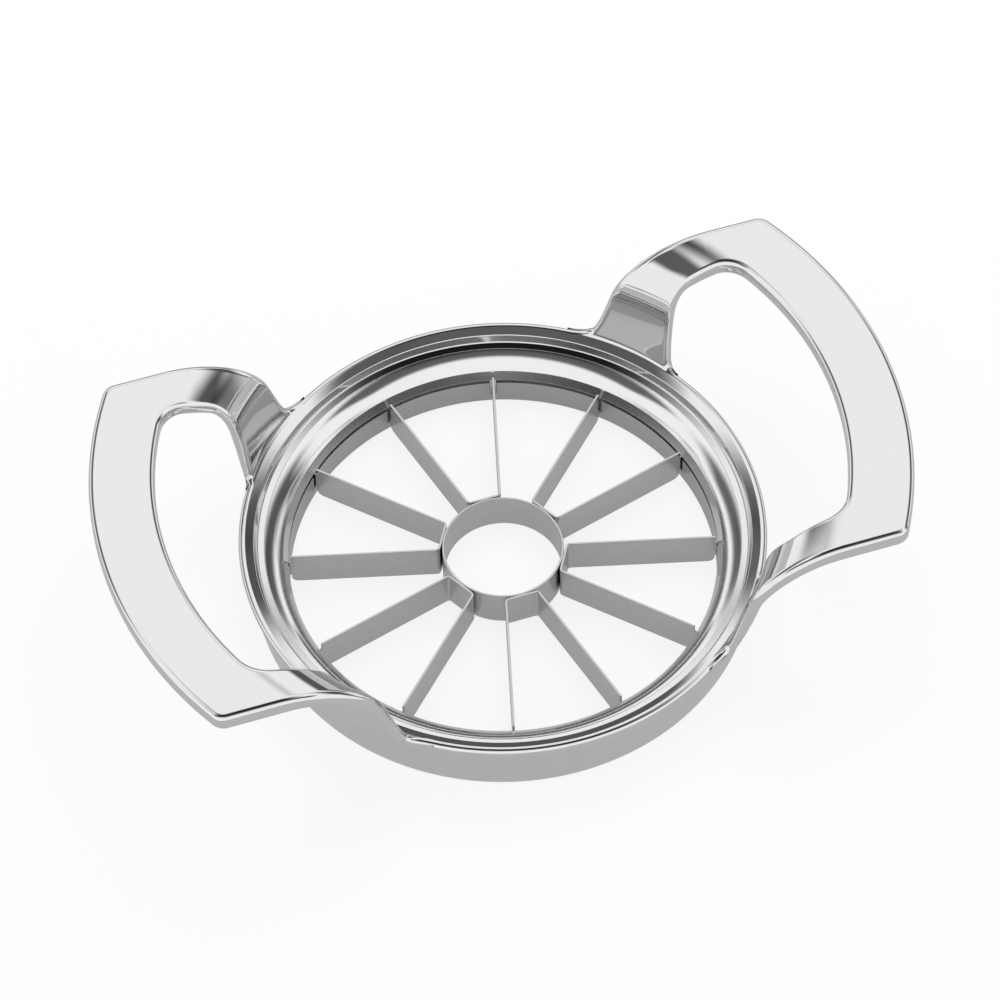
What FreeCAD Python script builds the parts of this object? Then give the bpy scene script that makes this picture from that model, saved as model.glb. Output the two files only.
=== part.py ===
import FreeCAD, Part
import math
import os

import Sketcher

# Apple slicer wedger press: a polished cast frame with two looped handles,
# a pressed collar, a slotted blade ring, a core ring and six bent blade
# strips that make twelve radial blades. X runs from handle to handle,
# Z is up and the frame's skirt stands on Z = 0. Millimetres throughout.

os.makedirs("parts", exist_ok=True)
doc = FreeCAD.newDocument("apple_wedger")
sheet = doc.addObject("Spreadsheet::Sheet", "Dimensions")

# Every size, in the order it is used. Text that starts with "=" is a formula
# on the sizes before it; angles are degrees.
SIZES = [
    # Ring and skirt of the casting
    ("skirt_foot_radius", "55.5"),
    ("skirt_foot_rounding", "0.5"),
    ("skirt_foot_flat_radius", "=skirt_foot_radius - skirt_foot_rounding"),
    ("skirt_wall", "2.1"),
    ("skirt_top_radius", "57.7"),
    ("skirt_top_height", "14.1"),
    ("lip_rounding", "0.9"),
    ("lip_centre_radius", "57.32"),
    ("lip_centre_height", "15.07"),
    ("lip_outer_radius", "=lip_centre_radius + lip_rounding"),
    ("dish_slope", "30"),
    ("lip_crest_radius", "=lip_centre_radius - lip_rounding * sin(dish_slope)"),
    ("lip_crest_height", "=lip_centre_height + lip_rounding * cos(dish_slope)"),
    ("crease_radius", "54.9"),
    ("crease_height", "=lip_crest_height - (lip_crest_radius - crease_radius) * tan(dish_slope)"),
    ("cove_radius", "2.6"),
    ("seat_edge_height", "12.65"),
    ("channel_inner_radius", "50.9"),
    ("channel_inner_height", "8.6"),
    ("channel_outer_radius", "54.9"),
    ("channel_outer_height", "11.2"),
    ("skirt_inner_foot_radius", "=skirt_foot_radius - skirt_wall"),
    ("hub_foot_height", "0.5"),
    # Collar pressed into the casting
    ("bore_radius", "47.6"),
    ("sleeve_radius", "48.9"),
    ("collar_foot_height", "7.7"),
    ("collar_rim_radius", "52.7"),
    ("collar_rim_height", "13.05"),
    ("collar_roll", "8.14"),
    ("collar_sheet", "1"),
    ("collar_under_roll", "=collar_roll - collar_sheet"),
    ("collar_run", "=collar_rim_radius - bore_radius"),
    ("collar_rise", "=collar_rim_height - collar_foot_height"),
    ("collar_chord", "=sqrt(collar_run ^ 2 + collar_rise ^ 2)"),
    ("collar_reach", "=sqrt(collar_roll ^ 2 - (collar_chord / 2) ^ 2)"),
    ("collar_axis_radius", "=bore_radius + collar_run / 2 + collar_reach * collar_rise / collar_chord"),
    ("collar_axis_height", "=collar_rim_height - collar_rise / 2 - collar_reach * collar_run / collar_chord"),
    ("collar_rim_reach", "=collar_axis_radius - collar_rim_radius"),
    ("collar_sleeve_reach", "=collar_axis_radius - sleeve_radius"),
    ("collar_rim_under", "=collar_axis_height + sqrt(collar_under_roll ^ 2 - collar_rim_reach ^ 2)"),
    ("collar_sleeve_top", "=collar_axis_height + sqrt(collar_under_roll ^ 2 - collar_sleeve_reach ^ 2)"),
    # Slotted ring that holds the blade ends
    ("blade_ring_bore", "47.5"),
    ("blade_ring_foot", "0.5"),
    ("blade_ring_top", "6.9"),
    ("slot_width", "1.4"),
    ("slot_floor", "2.9"),
    ("slot_count", "12"),
    # Core ring
    ("core_radius", "13.5"),
    ("core_sheet", "0.5"),
    ("core_bore", "=core_radius - core_sheet"),
    ("core_foot", "0.2"),
    ("core_height", "9.63"),
    # Blade strips
    ("blade_sheet", "0.5"),
    ("blade_foot", "0.5"),
    ("blade_height", "9.33"),
    ("blade_angle", "15"),
    ("bend_inner", "0.6"),
    ("bend_outer", "=bend_inner + blade_sheet"),
    ("bridge_outer", "=core_radius + blade_sheet"),
    ("outer_run", "=bend_outer * tan((90 - blade_angle) / 2)"),
    ("inner_run", "=bend_inner * tan((90 - blade_angle) / 2)"),
    ("outer_corner_y", "=(core_radius * sin(blade_angle) + blade_sheet / 2) / cos(blade_angle)"),
    ("inner_corner_y", "=(bridge_outer * sin(blade_angle) - blade_sheet / 2) / cos(blade_angle)"),
    ("outer_bend_y", "=outer_corner_y - outer_run"),
    ("inner_bend_y", "=inner_corner_y - inner_run"),
    ("outer_blade_x", "=core_radius + outer_run * cos(blade_angle)"),
    ("outer_blade_y", "=outer_corner_y + outer_run * sin(blade_angle)"),
    ("inner_blade_x", "=bridge_outer + inner_run * cos(blade_angle)"),
    ("inner_blade_y", "=inner_corner_y + inner_run * sin(blade_angle)"),
    ("tab_reach", "48.8"),
    ("outer_tip_x", "=tab_reach * cos(blade_angle) - blade_sheet / 2 * sin(blade_angle)"),
    ("outer_tip_y", "=tab_reach * sin(blade_angle) + blade_sheet / 2 * cos(blade_angle)"),
    ("inner_tip_x", "=tab_reach * cos(blade_angle) + blade_sheet / 2 * sin(blade_angle)"),
    ("inner_tip_y", "=tab_reach * sin(blade_angle) - blade_sheet / 2 * cos(blade_angle)"),
    ("shoulder_radius", "47.1"),
    ("tab_floor", "=slot_floor - blade_foot"),
    ("tab_top", "=collar_foot_height - blade_foot"),
    ("blade_corner", "1.5"),
    ("blade_corner_radius", "=shoulder_radius - blade_corner"),
    ("trim_margin", "1"),
    ("trim_top", "=blade_height + trim_margin"),
    ("trim_reach", "60"),
    # Handles: height of the top face as a curve against radius
    ("brim_height", "42.8"),
    ("brim_thickness", "4"),
    ("brim_under", "=brim_height - brim_thickness"),
    ("brim_outer_radius", "88.9"),
    ("rise_slope", "77"),
    ("root_thickness", "3.1"),
    ("crown_radius", "18"),
    ("crown_end_radius", "78.5"),
    ("crown_start_radius", "=crown_end_radius - crown_radius * sin(rise_slope)"),
    ("crown_start_height", "=brim_height - crown_radius * (1 - cos(rise_slope))"),
    ("root_sweep", "4"),
    ("sweep_run", "=root_sweep * (sin(rise_slope) - sin(dish_slope))"),
    ("sweep_rise", "=root_sweep * (cos(dish_slope) - cos(rise_slope))"),
    ("rise_run", "=crown_start_radius - crease_radius - sweep_run"),
    ("rise_gain", "=crown_start_height - crease_height - sweep_rise"),
    ("root_run", "=(rise_run * tan(rise_slope) - rise_gain) / (tan(rise_slope) - tan(dish_slope))"),
    ("sweep_start_radius", "=crease_radius + root_run"),
    ("sweep_start_height", "=crease_height + root_run * tan(dish_slope)"),
    ("sweep_end_radius", "=sweep_start_radius + sweep_run"),
    ("sweep_end_height", "=sweep_start_height + sweep_rise"),
    ("under_crown_start_radius", "=crown_start_radius + root_thickness * sin(rise_slope)"),
    ("under_crown_start_height", "=crown_start_height - root_thickness * cos(rise_slope)"),
    ("under_crown_radius", "=(brim_under - under_crown_start_height) / (1 - cos(rise_slope))"),
    ("under_crown_end_radius", "=under_crown_start_radius + under_crown_radius * sin(rise_slope)"),
    ("under_sweep_end_radius", "=sweep_end_radius + root_thickness * sin(rise_slope)"),
    ("under_sweep_end_height", "=sweep_end_height - root_thickness * cos(rise_slope)"),
    ("under_sweep", "=root_sweep + root_thickness"),
    ("under_sweep_start_radius", "=sweep_start_radius + root_thickness * sin(dish_slope)"),
    ("under_sweep_start_height", "=sweep_start_height - root_thickness * cos(dish_slope)"),
    ("root_inset", "1"),
    ("root_inner_radius", "=crease_radius + root_inset"),
    ("root_inner_run", "=under_sweep_start_radius - root_inner_radius"),
    ("root_inner_height", "=under_sweep_start_height - root_inner_run * tan(dish_slope)"),
    # Handles: outline seen from above
    ("plan_inner_radius", "53.5"),
    ("arm_outer", "45.1"),
    ("arm_inner", "36"),
    ("flare", "14"),
    ("flare_axis_y", "=arm_outer + flare"),
    ("flare_axis_x", "=sqrt((lip_outer_radius + flare) ^ 2 - flare_axis_y ^ 2)"),
    ("flare_lip_x", "=flare_axis_x * lip_outer_radius / (lip_outer_radius + flare)"),
    ("flare_lip_y", "=flare_axis_y * lip_outer_radius / (lip_outer_radius + flare)"),
    ("flare_root_x", "=flare_axis_x * plan_inner_radius / (lip_outer_radius + flare)"),
    ("flare_root_y", "=flare_axis_y * plan_inner_radius / (lip_outer_radius + flare)"),
    ("corner", "3.5"),
    ("corner_axis_y", "=arm_outer - corner"),
    ("corner_axis_x", "=sqrt((brim_outer_radius - corner) ^ 2 - corner_axis_y ^ 2)"),
    ("corner_brim_x", "=corner_axis_x * brim_outer_radius / (brim_outer_radius - corner)"),
    ("corner_brim_y", "=corner_axis_y * brim_outer_radius / (brim_outer_radius - corner)"),
    ("grip_inner_radius", "75.3"),
    ("finger_corner", "7"),
    ("finger_axis_y", "=arm_inner - finger_corner"),
    ("finger_axis_x", "=sqrt((grip_inner_radius - finger_corner) ^ 2 - finger_axis_y ^ 2)"),
    ("finger_grip_x", "=finger_axis_x * grip_inner_radius / (grip_inner_radius - finger_corner)"),
    ("finger_grip_y", "=finger_axis_y * grip_inner_radius / (grip_inner_radius - finger_corner)"),
    ("web", "5"),
    ("web_axis_y", "=arm_inner - web"),
    ("web_axis_x", "=sqrt((lip_outer_radius + web) ^ 2 - web_axis_y ^ 2)"),
    ("web_lip_x", "=web_axis_x * lip_outer_radius / (lip_outer_radius + web)"),
    ("web_lip_y", "=web_axis_y * lip_outer_radius / (lip_outer_radius + web)"),
    ("web_root_x", "=web_axis_x * plan_inner_radius / (lip_outer_radius + web)"),
    ("web_root_y", "=web_axis_y * plan_inner_radius / (lip_outer_radius + web)"),
    ("rounding_start_radius", "=lip_outer_radius + 0.5"),
    ("top_edge_rounding", "1.4"),
    ("under_edge_rounding", "1"),
]


def fill_sheet():
    """Write each size and its alias into the sheet, one row each."""
    order = {alias: row for row, (alias, _) in enumerate(SIZES, start=1)}
    for alias, row in order.items():
        sheet.setAlias("B%d" % row, alias)
    for row, (alias, text) in enumerate(SIZES, start=1):
        sheet.set("A%d" % row, alias)
        sheet.set("B%d" % row, text)
    doc.recompute()


def size(alias):
    """Value of one size; a leading minus gives the negative."""
    if alias.startswith("-"):
        return -size(alias[1:])
    return 0.0 if alias == "0" else float(getattr(sheet, alias))


def formula(alias):
    """Expression that ties a constraint or property to one size."""
    return "-Dimensions." + alias[1:] if alias.startswith("-") else "Dimensions." + alias


def new_body(name):
    body = doc.addObject("PartDesign::Body", name)
    body.Label = name
    return body


def new_sketch(body, name, role):
    """Sketch on one of the body's own origin planes."""
    sketch = body.newObject("Sketcher::SketchObject", name)
    plane = [item for item in body.Origin.OriginFeatures if item.Role == role][0]
    sketch.AttachmentSupport = [(plane, "")]
    sketch.MapMode = "FlatFace"
    return sketch


def arc_middle(start, end, radius, side):
    """Point halfway along an arc; side +1 bows to the left of start-end."""
    chord = end - start
    half = chord.Length / 2
    sagitta = radius - math.sqrt(max(radius * radius - half * half, 0.0))
    left = FreeCAD.Vector(-chord.y, chord.x, 0).normalize()
    return (start + end) / 2 + left * (side * sagitta)


def add_loop(sketch, corners):
    """Closed loop through corners (x, y, radius, side).

    Each coordinate and radius is the alias of a size. A radius of None makes
    the segment to the next corner straight; side +1 or -1 tells which way an
    arc bows.
    """
    points = [FreeCAD.Vector(size(x), size(y), 0) for x, y, _, _ in corners]
    first = sketch.GeometryCount
    for index, (_, _, radius, side) in enumerate(corners):
        start = points[index]
        end = points[(index + 1) % len(points)]
        if radius is None:
            sketch.addGeometry(Part.LineSegment(start, end), False)
        else:
            middle = arc_middle(start, end, size(radius), side)
            sketch.addGeometry(Part.Arc(start, middle, end), False)
    ends = [loop_ends(sketch, first + index, points[index]) for index in range(len(points))]
    for index in range(len(points)):
        following = (index + 1) % len(points)
        sketch.addConstraint(Sketcher.Constraint(
            "Coincident", first + index, ends[index][1], first + following, ends[following][0]))
    for index, (x, y, radius, _) in enumerate(corners):
        geometry = first + index
        tie(sketch, "DistanceX", geometry, ends[index][0], x)
        tie(sketch, "DistanceY", geometry, ends[index][0], y)
        if radius is not None:
            row = sketch.addConstraint(Sketcher.Constraint("Radius", geometry, size(radius)))
            sketch.setExpression("Constraints[%d]" % row, formula(radius))


def loop_ends(sketch, geometry, start):
    """Point numbers of a segment's start and end along the loop."""
    begins = sketch.getPoint(geometry, 1)
    return (1, 2) if (begins - start).Length < 1e-6 else (2, 1)


def tie(sketch, kind, geometry, point, alias):
    """Fix one coordinate of a point to a size, or to an axis."""
    if alias == "0":
        axis = -2 if kind == "DistanceX" else -1
        sketch.addConstraint(Sketcher.Constraint("PointOnObject", geometry, point, axis))
        return
    row = sketch.addConstraint(Sketcher.Constraint(kind, -1, 1, geometry, point, size(alias)))
    sketch.setExpression("Constraints[%d]" % row, formula(alias))


def revolved(name, corners):
    """Body made by turning a closed profile (radius, height) about Z."""
    body = new_body(name)
    sketch = new_sketch(body, name + "_profile", "XZ_Plane")
    add_loop(sketch, corners)
    doc.recompute()
    turn = body.newObject("PartDesign::Revolution", name + "_turn")
    turn.Profile = sketch
    turn.ReferenceAxis = (sketch, ["V_Axis"])
    turn.Angle = 360
    body.Tip = turn
    doc.recompute()
    return body


def make_casting_ring():
    """Skirt, rolled lip, cove, collar seat, hub wall and hollow underside."""
    return revolved("casting_ring", [
        ("skirt_inner_foot_radius", "0", None, 0),
        ("skirt_foot_flat_radius", "0", "skirt_foot_rounding", -1),
        ("skirt_foot_radius", "skirt_foot_rounding", None, 0),
        ("skirt_top_radius", "skirt_top_height", None, 0),
        ("lip_outer_radius", "lip_centre_height", "lip_rounding", -1),
        ("lip_crest_radius", "lip_crest_height", None, 0),
        ("crease_radius", "crease_height", "cove_radius", 1),
        ("collar_rim_radius", "seat_edge_height", None, 0),
        ("collar_rim_radius", "collar_rim_under", "collar_under_roll", -1),
        ("sleeve_radius", "collar_sleeve_top", None, 0),
        ("sleeve_radius", "hub_foot_height", None, 0),
        ("channel_inner_radius", "hub_foot_height", None, 0),
        ("channel_inner_radius", "channel_inner_height", None, 0),
        ("channel_outer_radius", "channel_outer_height", None, 0),
    ])


def make_handle_band():
    """Full turn of the handle's S shaped section, later cut to plan."""
    return revolved("handle_band", [
        ("crease_radius", "crease_height", None, 0),
        ("root_inner_radius", "root_inner_height", None, 0),
        ("under_sweep_start_radius", "under_sweep_start_height", "under_sweep", -1),
        ("under_sweep_end_radius", "under_sweep_end_height", None, 0),
        ("under_crown_start_radius", "under_crown_start_height", "under_crown_radius", 1),
        ("under_crown_end_radius", "brim_under", None, 0),
        ("brim_outer_radius", "brim_under", None, 0),
        ("brim_outer_radius", "brim_height", None, 0),
        ("crown_end_radius", "brim_height", "crown_radius", -1),
        ("crown_start_radius", "crown_start_height", None, 0),
        ("sweep_end_radius", "sweep_end_height", "root_sweep", 1),
        ("sweep_start_radius", "sweep_start_height", None, 0),
    ])


def make_handle_plan():
    """One handle seen from above: two arms, the grip and the finger gap."""
    body = new_body("handle_plan")
    sketch = new_sketch(body, "handle_plan_outline", "XY_Plane")
    add_loop(sketch, [
        ("flare_root_x", "-flare_root_y", None, 0),
        ("flare_lip_x", "-flare_lip_y", "flare", 1),
        ("flare_axis_x", "-arm_outer", None, 0),
        ("corner_axis_x", "-arm_outer", "corner", -1),
        ("corner_brim_x", "-corner_brim_y", "brim_outer_radius", -1),
        ("corner_brim_x", "corner_brim_y", "corner", -1),
        ("corner_axis_x", "arm_outer", None, 0),
        ("flare_axis_x", "arm_outer", "flare", 1),
        ("flare_lip_x", "flare_lip_y", None, 0),
        ("flare_root_x", "flare_root_y", "plan_inner_radius", 1),
        ("web_root_x", "web_root_y", None, 0),
        ("web_lip_x", "web_lip_y", "web", 1),
        ("web_axis_x", "arm_inner", None, 0),
        ("finger_axis_x", "arm_inner", "finger_corner", 1),
        ("finger_grip_x", "finger_grip_y", "grip_inner_radius", 1),
        ("finger_grip_x", "-finger_grip_y", "finger_corner", 1),
        ("finger_axis_x", "-arm_inner", None, 0),
        ("web_axis_x", "-arm_inner", "web", 1),
        ("web_lip_x", "-web_lip_y", None, 0),
        ("web_root_x", "-web_root_y", "plan_inner_radius", 1),
    ])
    doc.recompute()
    pad = body.newObject("PartDesign::Pad", "handle_plan_pad")
    pad.Profile = sketch
    pad.setExpression("Length", "Dimensions.brim_height + 5")
    body.Tip = pad
    doc.recompute()
    return body


def is_upright(face):
    """True for the walls that follow the outline seen from above."""
    u0, u1, v0, v1 = face.ParameterRange
    return all(
        abs(face.normalAt(u0 + (u1 - u0) * a, v0 + (v1 - v0) * b).z) < 1e-4
        for a, b in ((0.3, 0.3), (0.7, 0.6)))


def edge_roundings(shape):
    """Edges between an upright wall and a turned face, with their radii."""
    owners = {}
    for face in shape.Faces:
        upright = is_upright(face)
        for edge in face.Edges:
            owners.setdefault(edge.hashCode(), []).append((face, upright))
    chosen = []
    for index, edge in enumerate(shape.Edges, start=1):
        pair = owners.get(edge.hashCode(), [])
        if len(pair) != 2 or pair[0][1] == pair[1][1]:
            continue
        middle = edge.valueAt((edge.FirstParameter + edge.LastParameter) / 2)
        if math.hypot(middle.x, middle.y) < size("rounding_start_radius"):
            continue
        turned = pair[0][0] if not pair[0][1] else pair[1][0]
        u, v = turned.Surface.parameter(middle)
        radius = size("top_edge_rounding" if turned.normalAt(u, v).z > 0 else "under_edge_rounding")
        chosen.append((index, radius, radius))
    return chosen


def make_handle_frame():
    """The casting: its ring with a looped handle fused on each side."""
    ring = make_casting_ring()
    band = make_handle_band()
    plan = make_handle_plan()
    handle = doc.addObject("Part::MultiCommon", "handle")
    handle.Shapes = [band, plan]
    doc.recompute()
    rounded = doc.addObject("Part::Fillet", "handle_rounded")
    rounded.Base = handle
    rounded.Edges = edge_roundings(handle.Shape)
    doc.recompute()
    twin = doc.addObject("Part::Mirroring", "handle_twin")
    twin.Source = rounded
    twin.Normal = (1, 0, 0)
    doc.recompute()
    frame = doc.addObject("Part::MultiFuse", "handle_frame")
    frame.Shapes = [ring, rounded, twin]
    frame.Refine = True
    frame.Label = "handle_frame"
    return frame


def make_collar():
    """Pressed ring whose rolled flange covers the blade ends."""
    return revolved("collar_ring", [
        ("bore_radius", "collar_foot_height", None, 0),
        ("sleeve_radius", "collar_foot_height", None, 0),
        ("sleeve_radius", "collar_sleeve_top", "collar_under_roll", 1),
        ("collar_rim_radius", "collar_rim_under", None, 0),
        ("collar_rim_radius", "collar_rim_height", "collar_roll", -1),
    ])


def make_blade_ring():
    """Lower ring with twelve slots that hold the blade ends."""
    body = revolved("blade_ring", [
        ("blade_ring_bore", "blade_ring_foot", None, 0),
        ("sleeve_radius", "blade_ring_foot", None, 0),
        ("sleeve_radius", "blade_ring_top", None, 0),
        ("blade_ring_bore", "blade_ring_top", None, 0),
    ])
    before = body.Shape.Volume
    sketch = new_sketch(body, "slot_outline", "YZ_Plane")
    add_box(sketch, "slot_width", "slot_floor", "collar_foot_height")
    doc.recompute()
    slot = body.newObject("PartDesign::Pocket", "slot")
    slot.Profile = sketch
    slot.Type = "ThroughAll"
    slot.Reversed = True
    body.Tip = slot
    doc.recompute()
    if body.Shape.Volume >= before:
        raise ValueError("the slot removes nothing")
    pattern = body.newObject("PartDesign::PolarPattern", "slots")
    pattern.Originals = [slot]
    pattern.Axis = (sketch, ["V_Axis"])
    pattern.Angle = 360
    pattern.setExpression("Occurrences", "Dimensions.slot_count")
    body.Tip = pattern
    body.Placement = FreeCAD.Placement(
        FreeCAD.Vector(0, 0, 0), FreeCAD.Rotation(FreeCAD.Vector(0, 0, 1), size("blade_angle")))
    doc.recompute()
    return body


def add_box(sketch, width, low, high):
    """Rectangle centred on the sketch's vertical axis between two heights."""
    half = size(width) / 2
    corners = [(-half, size(low)), (half, size(low)), (half, size(high)), (-half, size(high))]
    for index in range(4):
        start = FreeCAD.Vector(*corners[index], 0)
        end = FreeCAD.Vector(*corners[(index + 1) % 4], 0)
        sketch.addGeometry(Part.LineSegment(start, end), False)
    for index in range(4):
        sketch.addConstraint(Sketcher.Constraint("Coincident", index, 2, (index + 1) % 4, 1))
    for index, kind in ((2, "Horizontal"), (1, "Vertical"), (3, "Vertical")):
        sketch.addConstraint(Sketcher.Constraint(kind, index))
    sketch.addConstraint(Sketcher.Constraint("Symmetric", 0, 1, 0, 2, -2))
    row = sketch.addConstraint(Sketcher.Constraint("DistanceX", 0, 1, 0, 2, 2 * half))
    sketch.setExpression("Constraints[%d]" % row, formula(width))
    tie(sketch, "DistanceY", 0, 1, low)
    tie(sketch, "DistanceY", 2, 1, high)


def make_core_ring():
    """Thin rolled tube that cuts out the apple's core."""
    body = new_body("core_ring")
    sketch = new_sketch(body, "core_outline", "XY_Plane")
    for index, alias in enumerate(("core_radius", "core_bore")):
        sketch.addGeometry(Part.Circle(FreeCAD.Vector(0, 0, 0), FreeCAD.Vector(0, 0, 1), size(alias)), False)
        sketch.addConstraint(Sketcher.Constraint("Coincident", index, 3, -1, 1))
        row = sketch.addConstraint(Sketcher.Constraint("Radius", index, size(alias)))
        sketch.setExpression("Constraints[%d]" % row, formula(alias))
    doc.recompute()
    pad = body.newObject("PartDesign::Pad", "core_wall")
    pad.Profile = sketch
    pad.setExpression("Length", "Dimensions.core_height")
    body.Tip = pad
    body.Placement.Base = FreeCAD.Vector(0, 0, size("core_foot"))
    doc.recompute()
    return body


def make_blade_strip(name, turn):
    """One bent strip: a bridge welded to the core ring and two blades."""
    body = new_body(name)
    sketch = new_sketch(body, name + "_outline", "XY_Plane")
    add_loop(sketch, [
        ("core_radius", "-outer_bend_y", None, 0),
        ("core_radius", "outer_bend_y", "bend_outer", 1),
        ("outer_blade_x", "outer_blade_y", None, 0),
        ("outer_tip_x", "outer_tip_y", None, 0),
        ("inner_tip_x", "inner_tip_y", None, 0),
        ("inner_blade_x", "inner_blade_y", "bend_inner", -1),
        ("bridge_outer", "inner_bend_y", None, 0),
        ("bridge_outer", "-inner_bend_y", "bend_inner", -1),
        ("inner_blade_x", "-inner_blade_y", None, 0),
        ("inner_tip_x", "-inner_tip_y", None, 0),
        ("outer_tip_x", "-outer_tip_y", None, 0),
        ("outer_blade_x", "-outer_blade_y", "bend_outer", 1),
    ])
    doc.recompute()
    pad = body.newObject("PartDesign::Pad", name + "_pad")
    pad.Profile = sketch
    pad.setExpression("Length", "Dimensions.blade_height")
    body.Tip = pad
    doc.recompute()
    trim(body, name + "_shoulder", [
        ("shoulder_radius", "tab_top", None, 0),
        ("trim_reach", "tab_top", None, 0),
        ("trim_reach", "trim_top", None, 0),
        ("shoulder_radius", "trim_top", None, 0),
    ])
    trim(body, name + "_corner", [
        ("blade_corner_radius", "0", "blade_corner", -1),
        ("shoulder_radius", "blade_corner", None, 0),
        ("shoulder_radius", "tab_floor", None, 0),
        ("trim_reach", "tab_floor", None, 0),
        ("trim_reach", "-trim_margin", None, 0),
        ("blade_corner_radius", "-trim_margin", None, 0),
    ])
    body.Placement = FreeCAD.Placement(
        FreeCAD.Vector(0, 0, size("blade_foot")), FreeCAD.Rotation(FreeCAD.Vector(0, 0, 1), turn))
    doc.recompute()
    return body


def trim(body, name, corners):
    """Turn a cutter profile about Z and take it off both blade ends."""
    before = body.Shape.Volume
    sketch = new_sketch(body, name, "XZ_Plane")
    add_loop(sketch, corners)
    doc.recompute()
    groove = body.newObject("PartDesign::Groove", name + "_cut")
    groove.Profile = sketch
    groove.ReferenceAxis = (sketch, ["V_Axis"])
    groove.Angle = 360
    body.Tip = groove
    doc.recompute()
    if body.Shape.Volume >= before:
        raise ValueError(name + " removes nothing")


def check_and_export(parts):
    """Stop on any failed feature, then write one STEP file per part."""
    doc.recompute()
    for item in doc.Objects:
        if "Invalid" in item.State or "Error" in item.State:
            raise ValueError("%s is not valid: %s" % (item.Name, item.State))
    for part in parts:
        shape = part.Shape
        if shape.isNull() or not shape.isValid() or len(shape.Solids) != 1:
            raise ValueError("%s has no single valid solid" % part.Label)
        shape.exportStep("parts/%s.step" % part.Label)


def main():
    fill_sheet()
    parts = [make_handle_frame(), make_collar(), make_blade_ring(), make_core_ring()]
    for number in range(6):
        parts.append(make_blade_strip("blade_strip_%d" % (number + 1), 30 + 60 * number))
    check_and_export(parts)


main()
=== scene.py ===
"""Looks of a polished apple wedger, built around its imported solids.

The object is a cast metal ring with a looped handle on each side. A pressed
collar and a slotted ring hold six bent steel strips, whose blades meet at a
thin core ring. Everything is rigid, so every piece rides on one body. Sizes
are metres in the solids' own frame: X runs from handle to handle, Z is up.
"""

from __future__ import annotations

import logging
import math
from dataclasses import dataclass, field
from enum import Enum
from typing import Callable, Iterable, Sequence

import bmesh
import bpy
from mathutils import Matrix, Vector


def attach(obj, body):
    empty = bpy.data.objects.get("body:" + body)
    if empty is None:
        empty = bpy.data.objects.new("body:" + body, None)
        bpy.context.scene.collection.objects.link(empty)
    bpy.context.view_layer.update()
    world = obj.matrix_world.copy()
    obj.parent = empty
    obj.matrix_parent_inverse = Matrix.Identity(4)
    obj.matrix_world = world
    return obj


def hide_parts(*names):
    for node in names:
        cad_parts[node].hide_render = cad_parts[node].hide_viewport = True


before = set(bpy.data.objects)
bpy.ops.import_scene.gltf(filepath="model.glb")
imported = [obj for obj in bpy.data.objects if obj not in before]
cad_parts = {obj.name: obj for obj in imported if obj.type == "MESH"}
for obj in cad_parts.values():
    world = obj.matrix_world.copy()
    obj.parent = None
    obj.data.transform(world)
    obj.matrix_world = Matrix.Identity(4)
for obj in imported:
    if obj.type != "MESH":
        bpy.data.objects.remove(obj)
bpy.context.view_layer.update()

LOG = logging.getLogger("wedger")
MM = 0.001
BODY = "root"

Point = tuple[float, float]


class Finish(Enum):
    """Names of material slots for the pieces' finishes; the pieces here get their materials directly."""

    CASTING = "polished_casting"
    COLLAR = "polished_collar"
    BLADE_RING = "blade_ring_steel"
    BLADE = "blade_steel"


class Side(Enum):
    """Which side of a path the outside of the part lies on."""

    LEFT = 1
    RIGHT = -1


def linear(hex_colour: str) -> tuple[float, float, float, float]:
    """Turn an sRGB hex colour into linear light.

    Args:
        hex_colour: six hex digits, such as "D8D9DB".

    Returns:
        Linear red, green, blue and an alpha of 1.
    """
    parts = [int(hex_colour[index:index + 2], 16) / 255 for index in (0, 2, 4)]
    turned = [c / 12.92 if c <= 0.04045 else ((c + 0.055) / 1.055) ** 2.4 for c in parts]
    return (turned[0], turned[1], turned[2], 1.0)


def sine(degrees: float) -> float:
    """Sine of an angle in degrees."""
    return math.sin(math.radians(degrees))


def cosine(degrees: float) -> float:
    """Cosine of an angle in degrees."""
    return math.cos(math.radians(degrees))


def tangent(degrees: float) -> float:
    """Tangent of an angle in degrees."""
    return math.tan(math.radians(degrees))


def blend(start: float, end: float, share: float) -> float:
    """Value that lies a share of the way from start to end."""
    return start + (end - start) * share


def ease(share: float) -> float:
    """Smooth step from 0 to 1, flat at both ends."""
    held = min(max(share, 0.0), 1.0)
    return held * held * (3 - 2 * held)


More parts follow.
